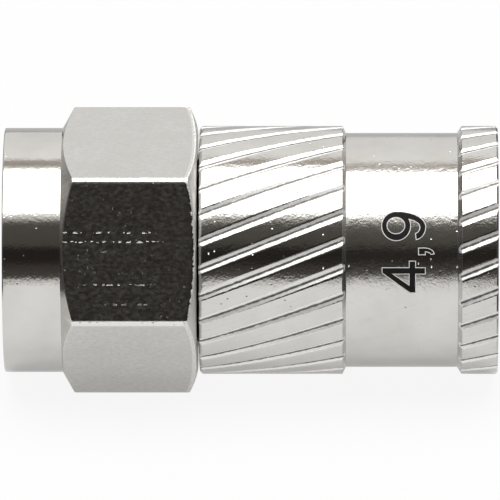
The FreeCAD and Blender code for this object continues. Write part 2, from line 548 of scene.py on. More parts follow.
@dataclass(frozen=True)
class TornCutWithPaintedLight:
    """Ragged finish inside the knurl's grooves, where the tool tore the metal, with painted light: a lighter
    colour on the flanks as painted highlight and a dark floor as painted shade.

    Attributes:
        flank_highlight_colour: lighter colour of the groove's two flanks, painted highlight that brightens
            what they mirror.
        flank_roughness: roughness of the flanks.
        flank_depth: shares of the depth where the flank's finish starts and is full.
        floor_colour: dark colour of the narrow floor, painted shade that stands in for the shadow deep in the
            groove.
        painted_shade_depth: shares of the depth where the painted shade starts and is full.
        raggedness: how far the torn edge wanders, as a share of the depth.
        tear_height: height of the torn grain, in micrometres.
    """

    # painted highlight: lighter colour for the groove flanks
    flank_highlight_colour: Colour = (0.96, 0.955, 0.94)
    flank_roughness: float = 0.58
    flank_depth: Point = (0.1, 0.3)
    # painted shade: dark colour for the groove floor, where shadow falls
    floor_colour: Colour = (0.19, 0.18, 0.166)
    painted_shade_depth: Point = (0.83, 0.95)
    raggedness: float = 0.32
    tear_height: float = 12.0

    def apply(self, layers: Layers) -> None:
        """Roughen the flanks and lighten them with painted highlight, and darken the floor with painted shade.

        Args:
            layers: the metal's layers.
        """
        tree = layers.tree
        place = tree.millimetres()
        tears = tree.noise(tree.scaled(place, (0.6, 1.0, 1.0)), 7.0)
        depth = tree.wander(tree.attribute(CUT_ATTRIBUTE), tears, self.raggedness)
        flank = tree.fade(depth, *self.flank_depth)
        # painted highlight: lightens the flanks
        layers.cover(flank, self.flank_highlight_colour, self.flank_roughness)
        # painted shade: darkens the groove floor
        layers.cover(tree.fade(depth, *self.painted_shade_depth), self.floor_colour)
        layers.lift(flank, tree.product(tree.noise(place, 14.0, 2.0), self.tear_height))


@dataclass(frozen=True)
class DullRing:
    """Duller and pitted finish of one length of a turned piece.

    Attributes:
        start: where it starts along the axis.
        end: where it ends.
        added_roughness: how much rougher it is than the rest.
        pit_depth: depth of its small pits, in micrometres.
        soft_edge: length over which it starts and ends.
    """

    start: float
    end: float
    added_roughness: float = 0.03
    pit_depth: float = 4.5
    soft_edge: float = 0.05

    def apply(self, layers: Layers) -> None:
        """Roughen and pit the metal between the two places.

        Args:
            layers: the metal's layers.
        """
        tree = layers.tree
        place = tree.millimetres()
        full = (self.start + self.soft_edge, self.end - self.soft_edge)
        inside = tree.span(tree.split(place)[0], self.start, *full, self.end)
        layers.roughness = tree.math("MULTIPLY_ADD", inside, self.added_roughness, layers.roughness)
        pits = tree.fade(tree.noise(place, 4.5, 2.0), 0.58, 0.8)
        layers.lift(tree.product(pits, inside), -self.pit_depth)


@dataclass(frozen=True)
class BarRow:
    """One row of dashes along a face of the hexagon.

    Attributes:
        across: distance from the face's middle line.
        start: where it starts, from the nut's mouth.
        end: where it ends.
        strength: how strongly it is marked, up to 1.
    """

    across: float
    start: float
    end: float
    strength: float


@dataclass(frozen=True)
class DrawnBar:
    """Duller finish of the hexagon's faces, with the dashes and specks that drawing the bar left.

    Attributes:
        rows: the rows of dashes.
        row_width: width of a row.
        row_sharpness: share of that width at which a dash is full.
        row_ends: how far a row reaches past its ends, and how far inside them it is full.
        dash_level: noise at which a dash starts and is full.
        pattern_steps: how far apart the patterns of two faces and of two rows lie in the noise.
        smooth_roughness: roughness of the faces where their grain is smoothest.
        coarse_roughness: roughness where it is coarsest.
        dull_tint: colour where the grain is coarsest.
        mark_roughness: roughness inside a dash or speck.
        mark_depth: depth of a dash or speck, in micrometres.
        face_radius: radii up to which the metal was turned and keeps its finish, and from which it was drawn.
        bold_face: number of the face whose dashes show most, from +Y towards +Z.
        faint_strength: share of the dashes' strength on the other faces.
    """

    rows: tuple[BarRow, ...] = (
        BarRow(0.83, 2.53, 6.73, 1.0),
        BarRow(0.43, 2.53, 7.03, 1.0),
        BarRow(0.01, 3.83, 4.93, 0.5),
        BarRow(-1.44, 3.53, 6.83, 0.7),
        BarRow(-2.30, 4.33, 7.23, 0.5),
    )
    row_width: float = 0.045
    row_sharpness: float = 0.3
    row_ends: Point = (0.1, 0.3)
    dash_level: Point = (0.53, 0.6)
    pattern_steps: Point = (3.7, 11.3)
    smooth_roughness: float = 0.14
    coarse_roughness: float = 0.27
    dull_tint: Colour = (0.585, 0.575, 0.558)
    mark_roughness: float = 0.6
    mark_depth: float = 9.0
    face_radius: Point = (5.39, 5.45)
    bold_face: float = 2.0
    faint_strength: float = 0.35

    def apply(self, layers: Layers) -> None:
        """Dull the faces and mark them.

        Args:
            layers: the metal's layers.
        """
        tree, sector = layers.tree, math.radians(SECTOR)
        place = tree.millimetres()
        along, side, up = tree.split(place)
        turn = tree.math("DIVIDE", tree.math("ARCTAN2", up, side), sector)
        face = tree.math("FLOOR", turn)
        from_middle = tree.math("MULTIPLY_ADD", tree.math("FRACT", turn), -sector, sector / 2)
        radius = tree.math("SQRT", tree.math("ADD", tree.product(side, side), tree.product(up, up)))
        across = tree.product(radius, tree.math("SINE", from_middle))
        on_face = tree.fade(radius, *self.face_radius)
        strength = tree.mix(tree.math("COMPARE", face, self.bold_face, 0.5), self.faint_strength, 1.0)
        marks = tree.spots(place, 3.1, (0.16, 0.04), (0.35, 1.5), "Green")
        for index in range(len(self.rows)):
            dashes = self._dashes(tree, index, (along, across, face))
            marks = tree.math("MAXIMUM", marks, tree.product(dashes, strength))
        marks = tree.product(marks, on_face)
        grain = tree.fade(tree.noise(tree.scaled(place, (0.7, 1.0, 1.0)), 7.0), 0.3, 0.7)
        layers.cover(tree.product(grain, on_face), self.dull_tint)
        layers.cover(on_face, roughness=tree.mix(grain, self.smooth_roughness, self.coarse_roughness))
        layers.cover(marks, roughness=self.mark_roughness)
        layers.lift(marks, -self.mark_depth)

    def _dashes(self, tree: NodeTree, index: int, place: tuple[Socket, Socket, Socket]) -> Socket:
        """Give the mask of one row of dashes.

        Args:
            tree: the material's nodes.
            index: the row's number, which also sets its pattern.
            place: place along the axis, distance from the face's middle line, and the face's number.

        Returns:
            The mask.
        """
        row, (along, across, face) = self.rows[index], place
        mouth, _ = node_span("coupling_nut")
        start, end = mouth + row.start, mouth + row.end
        face_step, row_step = self.pattern_steps
        pattern = tree.math("MULTIPLY_ADD", face, face_step, row_step * index)
        seed = tree.add("ShaderNodeCombineXYZ", {"X": along, "Y": pattern, "Z": tree.product(across, 2.0)})
        dash = tree.fade(tree.noise(seed.outputs["Vector"], 4.6, 2.0), *self.dash_level)
        apart = tree.math("ABSOLUTE", tree.math("SUBTRACT", across, row.across))
        line = tree.fade(apart, self.row_width, self.row_width * self.row_sharpness)
        past, taper = self.row_ends
        length = tree.span(along, start - past, start + taper, end - taper, end + past)
        return tree.product(line, dash, length, row.strength)


@dataclass(frozen=True)
class EdgeWearAndSheen:
    """Brighter metal along the hexagon's edges, and the torn burr that the rear chamfer left; their lighter
    colours are partly painted highlight.

    Attributes:
        rubbed_sheen_colour: lighter colour of the rubbed edges, partly painted highlight.
        rubbed_roughness: roughness of the rubbed edges.
        rubbed_wear_and_sheen: levels of the edge map at which they start to show and are full.
        burr_sheen_colour: lighter colour of the burr, partly painted highlight.
        burr_roughness: roughness of the burr.
        burr_wear_and_sheen: levels of the edge map at which it starts to show and is full.
        burr_height: height of its torn grain, in micrometres.
        raggedness: how far its edge wanders, as a share of its width.
    """

    rubbed_sheen_colour: Colour = (0.78, 0.765, 0.74)
    rubbed_roughness: float = 0.12
    rubbed_wear_and_sheen: Point = (0.1, 0.45)
    burr_sheen_colour: Colour = (0.82, 0.81, 0.79)
    burr_roughness: float = 0.5
    burr_wear_and_sheen: Point = (0.6, 0.75)
    burr_height: float = 30.0
    raggedness: float = 1.0

    def apply(self, layers: Layers) -> None:
        """Lighten the edges and the burr, partly as painted highlight, and tear the burr.

        Args:
            layers: the metal's layers.
        """
        tree = layers.tree
        place = tree.millimetres()
        wear_and_sheen = tree.attribute(WEAR_AND_SHEEN_ATTRIBUTE)
        burr = tree.fade(tree.wander(wear_and_sheen, tree.noise(place, 6.0), self.raggedness), *self.burr_wear_and_sheen)
        # painted highlight, partly: lighter colour along the long edges and the cone's crest
        layers.cover(tree.fade(wear_and_sheen, *self.rubbed_wear_and_sheen), self.rubbed_sheen_colour, self.rubbed_roughness)
        # painted highlight, partly: lighter colour on the torn burr
        layers.cover(burr, self.burr_sheen_colour, self.burr_roughness)
        layers.lift(burr, tree.product(tree.noise(place, 11.0, 2.0), self.burr_height))


@dataclass(frozen=True)
class Finish:
    """Procedural material with one surface shader, whose inputs each kind of finish gives.

    Attributes:
        name: the material's name.
    """

    name: str

    def inputs(self, tree: NodeTree) -> dict[str, object]:
        """Give the surface shader's inputs, and build the nodes that lead to them."""
        raise NotImplementedError

    def material(self) -> bpy.types.Material:
        """Build the material.

        Returns:
            The material.
        """
        material = bpy.data.materials.new(self.name)
        tree = NodeTree.of(material)
        tree.show(tree.add("ShaderNodeBsdfPrincipled", self.inputs(tree)).outputs["BSDF"])
        return material


@dataclass(frozen=True)
class PlatingFinish(Finish):
    """Bright nickel-tin plating over brass.

    Attributes:
        tint: colour of the metal.
        shade: darkest colour of its faint clouds.
        cloud_tone: tones at which the colour is the shade and the tint.
        roughness: plain roughness.
        roughness_swing: how far the roughness changes over the surface.
        ripple: share of the orange-peel ripple.
        turning: share of the tool's rings.
        nicks: share of the small dents.
        marks: what else marks the metal.
    """

    tint: Colour = (0.668, 0.654, 0.632)
    shade: Colour = (0.605, 0.587, 0.557)
    cloud_tone: Point = (0.23, 0.65)
    roughness: float = 0.09
    roughness_swing: float = 0.08
    ripple: float = 1.0
    turning: float = 1.0
    nicks: float = 1.0
    marks: tuple[Mark, ...] = ()

    def inputs(self, tree: NodeTree) -> dict[str, object]:
        """Give the surface shader's inputs.

        Args:
            tree: the material's nodes.

        Returns:
            Inputs of a metal with clouds, grain and marks.
        """
        shares = {"Ripple": self.ripple, "Turning": self.turning, "Nicks": self.nicks}
        grain = tree.add("ShaderNodeGroup", shares, node_tree=SurfaceGrain().build()).outputs
        colour = tree.mix(tree.fade(grain["Tone"], *self.cloud_tone), self.shade, self.tint)
        least = self.roughness - self.roughness_swing / 2
        roughness = tree.math("MULTIPLY_ADD", grain["Dullness"], self.roughness_swing, least)
        layers = Layers(tree, colour, roughness, grain["Height"])
        for mark in self.marks:
            mark.apply(layers)
        return {
            "Metallic": 1.0,
            "Base Color": layers.colour,
            "Roughness": layers.roughness,
            "Normal": tree.bump(layers.height, MICROMETRE),
        }


@dataclass(frozen=True)
class RubberFinish(Finish):
    """Black sealing rubber with a fine moulded grain.

    Attributes:
        dark: colour in the grain's hollows.
        light: colour on its tops.
        roughness: plain roughness.
        grain_height: height of the grain, in micrometres.
    """

    dark: Colour = (0.0132, 0.0132, 0.0138)
    light: Colour = (0.033, 0.033, 0.0345)
    roughness: float = 0.55
    grain_height: float = 3.0

    def inputs(self, tree: NodeTree) -> dict[str, object]:
        """Give the surface shader's inputs.

        Args:
            tree: the material's nodes.

        Returns:
            Inputs of a dark dielectric with a little change of tone and a fine bump.
        """
        grain = tree.noise(tree.millimetres(), 12.0)
        return {
            "Base Color": tree.mix(grain, self.dark, self.light),
            "Roughness": self.roughness,
            "Normal": tree.bump(grain, self.grain_height * MICROMETRE),
        }


@dataclass(frozen=True)
class InkFinish(Finish):
    """Matt printing ink, a little uneven over the metal.

    Attributes:
        full: colour where the ink lies thick.
        thin: colour where it lies thin.
        roughness: plain roughness.
        specular: level of its weak gloss.
    """

    full: Colour
    thin: Colour
    roughness: float = 0.65
    specular: float = 0.1

    def inputs(self, tree: NodeTree) -> dict[str, object]:
        """Give the surface shader's inputs.

        Args:
            tree: the material's nodes.

        Returns:
            Inputs of a matt dielectric with a cloudy tone.
        """
        return {
            "Base Color": tree.mix(tree.noise(tree.millimetres(), 6.0), self.full, self.thin),
            "Roughness": self.roughness,
            "Specular IOR Level": self.specular,
        }


def dress(piece: bpy.types.Object, body: Body, finish: Finish) -> None:
    """Give a piece its body, slot and material.

    Args:
        piece: the piece.
        body: the body that it moves with.
        finish: its finish.
    """
    piece.data.materials.clear()
    piece.data.materials.append(finish.material())
    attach(piece, body.value)
    LOG.info("%s: %d faces on %s", piece.name, len(piece.data.polygons), body.value)


@dataclass(frozen=True)
class CouplingNut:
    """Hexagonal nut with a round nose, a threaded mouth and a pocket for the seal."""

    nose_length: float = 2.55
    nose_radius: float = 5.375
    nose_edge: float = 0.07
    nose_foot: float = 0.02
    flat_radius: float = 5.5
    edge_radius: float = 0.4
    edge_reach: float = 3.6
    edge_step: float = 0.3
    flat_columns: int = 48
    cone_angle: float = 60.5
    crest_fillet: float = 0.08
    dome_radius: float = 3.4
    dome_start_angle: float = 11.0
    rear_face_radius: float = 5.27
    dome_steps: int = 14
    thread_root: float = 4.775
    thread_minor: float = 4.345
    thread_pitch: float = 0.79375
    thread_base: float = 0.695
    thread_crest: float = 0.2
    thread_sunk: float = 0.02
    thread_steps: int = 96
    thread_front_gap: float = 0.15
    thread_rear_gap: float = 0.3
    mouth_chamfer: float = 0.25
    relief_depth: float = 0.2
    relief_length: float = 0.9
    flange_front: float = 1.08
    flange_rear: float = 1.98
    post_hole: float = 3.45
    seal_pocket: float = 4.3
    small_edge: float = 0.05
    rub_width: float = 0.1
    burr_width: float = 0.22
    rub_sheen_strength: float = 0.5
    rub_sheen_share: float = 0.75
    crest_sheen_strength: float = 0.2

    def hex_radius(self, angle: float) -> float:
        """Give the hexagon's radius at an angle.

        Args:
            angle: degrees from +Y towards +Z, where a corner lies at 0.

        Returns:
            Radius in millimetres, with the long edges rounded.
        """
        half_sector = math.radians(SECTOR / 2)
        from_face = math.radians(abs(angle % SECTOR - SECTOR / 2))
        if math.tan(from_face) * self.flat_radius <= self.half_flat():
            return self.flat_radius / math.cos(from_face)
        centre = (self.flat_radius - self.edge_radius) / math.cos(half_sector)
        from_corner = half_sector - from_face
        inside = self.edge_radius**2 - (centre * math.sin(from_corner)) ** 2
        return centre * math.cos(from_corner) + math.sqrt(max(inside, 0.0))

    def half_flat(self) -> float:
        """Give half the width of the hexagon's flat, between its rounded edges."""
        return (self.flat_radius - self.edge_radius) * math.tan(math.radians(SECTOR / 2))

    def angles(self) -> np.ndarray:
        """Give the columns' angles.

        Returns:
            Degrees, closer together round the six long edges.
        """
        reach = self.edge_reach
        near = np.arange(-reach, reach, self.edge_step)
        far = np.linspace(reach, SECTOR - reach, self.flat_columns, endpoint=False)
        return np.concatenate([part + SECTOR * side for side in range(6) for part in (near, far)])

    def dome(self, radius: float, rear_x: float) -> list[Corner]:
        """Give the domed rear chamfer from a side of the hexagon inwards.

        Args:
            radius: the hexagon's radius at this side.
            rear_x: the nut's rear face.

        Returns:
            Corners from the hexagon to the rear face.
        """
        size, rear_angle = self.dome_radius, math.radians(self.dome_start_angle)
        centre = (rear_x - size * math.cos(rear_angle), self.rear_face_radius - size * math.sin(rear_angle))
        front_angle = math.degrees(math.asin((radius - centre[1]) / size))
        first, *others = arc(centre, (size, size), front_angle, self.dome_start_angle, self.dome_steps)
        return [Corner(*first, self.crest_fillet), *rounded(others, 0.0)]

    def cone_end(self, radius: float) -> float:
        """Give where the front cone meets a side of the hexagon, along the axis."""
        cone_length = (radius - self.nose_radius) / math.tan(math.radians(self.cone_angle))
        return node_span("coupling_nut")[0] + self.nose_length + cone_length

    def wear_and_sheen(self, x: np.ndarray, radius: np.ndarray, angles: np.ndarray) -> np.ndarray:
        """Give each point's share of rubbing, tearing and painted highlight.

        Args:
            x: the points' places along the axis.
            radius: their distances from the axis.
            angles: the columns' angles.

        Returns:
            Up to 1 on the rear burr, rub_sheen_strength on the long edges, crest_sheen_strength on the cone's
            edge, and
            0 elsewhere.
        """
        _, rear = node_span("coupling_nut")
        sides = [self.hex_radius(float(angle)) for angle in angles]
        cone_end = np.array([self.cone_end(side) for side in sides])
        dome_start = np.array([self.dome(side, rear)[0].x for side in sides])
        half_sector = SECTOR / 2
        from_corner = np.abs((angles + half_sector) % SECTOR - half_sector)
        half_rounding = half_sector - math.degrees(math.atan(self.half_flat() / self.flat_radius))
        from_edge = self.rub_sheen_share * half_rounding - from_corner
        # the lighter edges and crest that this map gives are partly painted highlight
        long_edge = self.rub_sheen_strength * np.clip(2.0 * from_edge, 0.0, 1.0)
        crest = self.crest_sheen_strength * np.clip(1.0 - np.abs(x - cone_end) / self.rub_width, 0.0, 1.0)
        burr = np.clip(1.0 - (dome_start - x) / self.burr_width, 0.0, 1.0)
        rubbed_and_sheened = np.maximum(np.maximum(crest, burr), long_edge)
        outside = (radius > self.rear_face_radius + 0.01) & (x > cone_end - self.rub_width)
        return np.where(outside, rubbed_and_sheened, 0.0)

    def outline(self, angle: float) -> Outline:
        """Give the nut's section at an angle.

        Args:
            angle: degrees from +Y towards +Z.

        Returns:
            The closed outline.
        """
        mouth, rear = node_span("coupling_nut")
        radius = self.hex_radius(angle)
        cone_end = self.cone_end(radius)
        dome = self.dome(radius, rear)
        relief = self.thread_root + self.relief_depth
        relief_front = self.flange_front - self.relief_length
        outside = [
            Corner(mouth, self.nose_radius, self.nose_edge),
            Corner(mouth + self.nose_length, self.nose_radius, self.nose_foot),
            Corner(cone_end, radius, self.crest_fillet),
            Corner(cone_end + self.rub_width, radius),
            Corner(dome[0].x - self.burr_width, radius),
            *dome,
        ]
        inside = [
            (rear, self.seal_pocket),
            (self.flange_rear, self.seal_pocket),
            (self.flange_rear, self.post_hole),
            (self.flange_front, self.post_hole),
            (self.flange_front, relief),
            (relief_front, relief),
            (relief_front - self.relief_depth, self.thread_root),
            (mouth + self.mouth_chamfer, self.thread_root),
            (mouth, self.thread_root + self.mouth_chamfer),
        ]
        return Outline(outside + rounded(inside, self.small_edge), fillet_steps=3, longest_step=0.6)

    def thread_section(self) -> list[Point]:
        """Give the section of the coupling thread's ridge.

        Returns:
            Places along the axis with heights over the thread's root, from a foot sunk into the nut.
        """
        base, crest = self.thread_base / 2, self.thread_crest / 2
        depth = self.thread_root - self.thread_minor
        half = [(-base, -self.thread_sunk), (-base, 0.0), (-1.35 * crest, 0.93 * depth), (-0.8 * crest, depth)]
        return half + [(-x, height) for x, height in reversed(half)]

    def thread(self) -> bpy.types.Object:
        """Make the coupling thread's ridge, a right-hand helix inside the mouth.

        Returns:
            The ridge, which fades out over its first and last third of a turn.
        """
        start = node_span("coupling_nut")[0] + self.mouth_chamfer + self.thread_front_gap
        end = self.flange_front - self.relief_length - self.relief_depth - self.thread_rear_gap
        count = round((end - start) / self.thread_pitch * self.thread_steps)
        fade = self.thread_steps / 3
        section = self.thread_section()
        vertices = []
        for step in range(count + 1):
            turn = step / self.thread_steps
            angle, middle = 2 * math.pi * turn, start + self.thread_pitch * turn
            share = min(1.0, (step + 1) / fade, (count + 1 - step) / fade)
            for offset, height in section:
                radius = self.thread_root - (height * share if height > 0.0 else height)
                vertices.append((middle + offset, radius * math.cos(angle), radius * math.sin(angle)))
        faces = grid_faces(count + 1, len(section), False)[:, [0, 3, 2, 1]]
        piece = smooth_mesh("coupling_thread", np.array(vertices), faces)
        with editing(piece.data) as work:
            bmesh.ops.holes_fill(work, edges=[edge for edge in work.edges if edge.is_boundary], sides=0)
        return piece

    def build(self) -> None:
        """Make the nut and its thread, and dress them."""
        plating = PlatingFinish("nut_plating", turning=0.6, nicks=0.5, marks=(DrawnBar(), EdgeWearAndSheen()))
        nut = turned_piece("plated_nut", self.outline, self.angles(), 0.0, WEAR_AND_SHEEN_ATTRIBUTE, self.wear_and_sheen)
        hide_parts("coupling_nut")
        dress(nut, Body.NUT, plating)
        dress(self.thread(), Body.NUT, PlatingFinish("thread_plating", nicks=0.3))


@dataclass(frozen=True)
class CompressionSleeve:
    """Turned sleeve with two knurled lands, a smooth band and the cable's bore."""

    land_radius: float = 5.46
    front_land_length: float = 6.43
    front_land_edge: float = 0.13
    front_shoulder: float = 0.15
    band_radius: float = 5.15
    band_length: float = 4.89
    rear_shoulder: float = 0.2
    rear_land_edge: float = 0.08
    least_edge: float = 0.001
    web_thickness: float = 2.7
    seat_radius: float = 3.2
    bore_radius: float = 4.2
    bore_chamfer: float = 0.3
    relief_radius: float = 4.6
    relief_margin: float = 0.55
    groove_count: int = 28
    groove_depth: float = 0.085
    groove_width: float = 0.44
    groove_floor: float = 0.09
    groove_lead: float = 85.3
    groove_start_angle: float = 4.4
    column_places: tuple[float, ...] = (
        0.0, 0.1, 0.22, 0.4, 0.6, 0.78, 0.9, 1.0, 1.12, 1.25, 1.45, 1.8, 2.3, 2.8
    )
    lip_softness: float = 0.3
    front_rounding: float = 0.12
    fillet: float = 0.03

    def from_groove(self, angle: float) -> float:
        """Give how far a column lies from the nearest groove's middle, round the sleeve."""
        pitch = 360.0 / self.groove_count
        return math.radians((angle + pitch / 2) % pitch - pitch / 2) * self.land_radius

    def cut_share(self, _x: np.ndarray, radius: np.ndarray, angles: np.ndarray) -> np.ndarray:
        """Give how deep each point of the mesh is cut.

        Args:
            _x: the points' places along the axis, which don't matter.
            radius: their distances from the axis.
            angles: the columns' angles.

        Returns:
            Share of a groove's full depth, which is 0 inside the sleeve and on the band.
        """
        cut_above = (self.band_radius + self.land_radius - self.groove_depth) / 2
        depths = np.array([self.groove(self.from_groove(float(angle))) for angle in angles])
        return np.where(radius > cut_above, depths[None, :] / self.groove_depth, 0.0)

    def groove(self, across: float) -> float:
        """Give the depth of a groove.

        Args:
            across: distance from the groove's middle, round the sleeve.

        Returns:
            Depth below the land, with rounded lips and floor.
        """
        flank = (self.groove_width - self.groove_floor) / 2
        share = (self.groove_width / 2 - abs(across)) / flank
        soft = self.lip_softness
        for limit, sign in ((0.0, 1.0), (1.0, -1.0)):
            near = max(soft - abs(share - limit), 0.0) / soft
            share = sign * max(sign * share, sign * limit) + sign * near * near * soft / 4
        return self.groove_depth * max(0.0, min(1.0, share))

    def angles(self) -> np.ndarray:
        """Give the columns' angles.

        Returns:
            Degrees, closer together over each groove.
        """
        reach, pitch = self.groove_width / 2, 360.0 / self.groove_count
        offsets = sorted({sign * share * reach for share in self.column_places for sign in (-1.0, 1.0)})
        sector = np.degrees(np.array(offsets) / self.land_radius)
        return np.concatenate([sector + pitch * index for index in range(self.groove_count)])

    def outline(self, angle: float) -> Outline:
        """Give the sleeve's section along one column, which runs beside the grooves.

        Args:
            angle: the column's angle from the middle of a groove, in degrees.

        Returns:
            The closed outline.
        """
        front, rear = node_span("compression_sleeve")
        band_front = front + self.front_land_length
        band_rear = band_front + self.band_length
        depth = self.groove(self.from_groove(angle))
        land = self.land_radius - depth
        uncut = 1 - depth / (self.land_radius - self.band_radius)
        foot = land - self.least_edge
        front_x = front + max(self.front_land_edge - depth, self.least_edge)
        rear_x = rear - max(self.rear_land_edge - depth, self.least_edge)
        relief_front, relief_rear = band_front + self.relief_margin, band_rear - self.relief_margin
        ramp = self.relief_radius - self.bore_radius
        web = front + self.web_thickness
        nose = [(front, min(self.land_radius - self.front_land_edge, foot)), (front_x, land)]
        others = [
            (band_front - self.front_shoulder * uncut, land),
            (band_front, self.band_radius),
            (band_rear, self.band_radius),
            (band_rear + self.rear_shoulder * uncut, land),
            (rear_x, land),
            (rear, min(self.land_radius - self.rear_land_edge, foot)),
            (rear, self.bore_radius + self.bore_chamfer),
            (rear - self.bore_chamfer, self.bore_radius),
            (relief_rear, self.bore_radius),
            (relief_rear - ramp, self.relief_radius),
            (relief_front + ramp, self.relief_radius),
            (relief_front, self.bore_radius),
            (web, self.bore_radius),
            (web, self.seat_radius),
            (front, self.seat_radius),
        ]
        corners = rounded(nose, self.front_rounding) + rounded(others, self.fillet)
        return Outline(corners, fillet_steps=2, longest_step=0.4)

    def build(self) -> None:
        """Make the sleeve and dress it."""
        turn = -360.0 / self.groove_lead
        front, _ = node_span("compression_sleeve")
        start = 270.0 + self.groove_start_angle - turn * front
        sleeve = turned_piece(
            "knurled_sleeve", self.outline, self.angles(), turn, CUT_ATTRIBUTE, self.cut_share
        )
        sleeve.data.transform(Matrix.Rotation(math.radians(start), 4, "X"))
        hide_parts("compression_sleeve")
        band_front = front + self.front_land_length
        marks = (TornCutWithPaintedLight(), DullRing(band_front, band_front + self.band_length))
        plating = PlatingFinish("sleeve_plating", roughness=0.125, ripple=1.7, nicks=1.1, marks=marks)
        dress(sleeve, Body.CONNECTOR, plating)


@dataclass(frozen=True)
class InnerPost:
    """Flanged tube with a stem, a press seat and a barbed tail."""

    bore_radius: float = 2.475
    flange_radius: float = 4.3
    flange_thickness: float = 1.0
    flange_chamfer: float = 0.15
    stem_radius: float = 3.4
    seat_radius: float = 3.2
    web_rear: float = 5.58
    sleeve_front: float = 2.88
    lead_length: float = 0.5
    tail_radius: float = 2.8
    barb_height: float = 0.3
    barb_length: float = 1.5
    tip_wall: float = 0.15
    fillet: float = 0.03
    columns: int = 192

    def outline(self, _angle: float) -> Outline:
        """Give the post's section, which is the same all round.

        Args:
            _angle: the column's angle, which doesn't matter.

        Returns:
            The closed outline.
        """
        front, rear = node_span("inner_post")
        barb = rear - self.barb_length
        points = [
            (front, self.bore_radius),
            (front, self.flange_radius - self.flange_chamfer),
            (front + self.flange_chamfer, self.flange_radius),
            (self.flange_thickness, self.flange_radius),
            (self.flange_thickness, self.stem_radius),
            (self.sleeve_front, self.stem_radius),
            (self.sleeve_front, self.seat_radius),
            (self.web_rear, self.seat_radius),
            (self.web_rear + self.lead_length, self.tail_radius),
            (barb, self.tail_radius),
            (barb, self.tail_radius + self.barb_height),
            (rear, self.bore_radius + self.tip_wall),
            (rear, self.bore_radius),
        ]
        return Outline(rounded(points, self.fillet), longest_step=2.0)

    def build(self) -> None:
        """Make the post and dress it."""
        angles = np.linspace(0.0, 360.0, self.columns, endpoint=False)
        post = turned_piece("plated_post", self.outline, angles)
        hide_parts("inner_post")
        dress(post, Body.CONNECTOR, PlatingFinish("post_plating", roughness=0.14, nicks=0.4))


@dataclass(frozen=True)
class NutSeal:
    """Round-section sealing ring between the nut and the sleeve."""

    section_radius: float = 0.4
    columns: int = 128
    points: int = 24

    def build(self) -> None:
        """Make the ring and dress it."""
        front, rear = node_span("nut_seal")
        centre = ((front + rear) / 2, node_radius("nut_seal") - self.section_radius)
        circle = arc(centre, (self.section_radius, self.section_radius), 0.0, 360.0, self.points)
        section = Outline(rounded(circle[:-1], 0.0))
        angles = np.linspace(0.0, 360.0, self.columns, endpoint=False)
        ring = turned_piece("seal_ring", lambda _angle: section, angles)
        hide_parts("nut_seal")
        dress(ring, Body.CONNECTOR, RubberFinish("seal_rubber"))


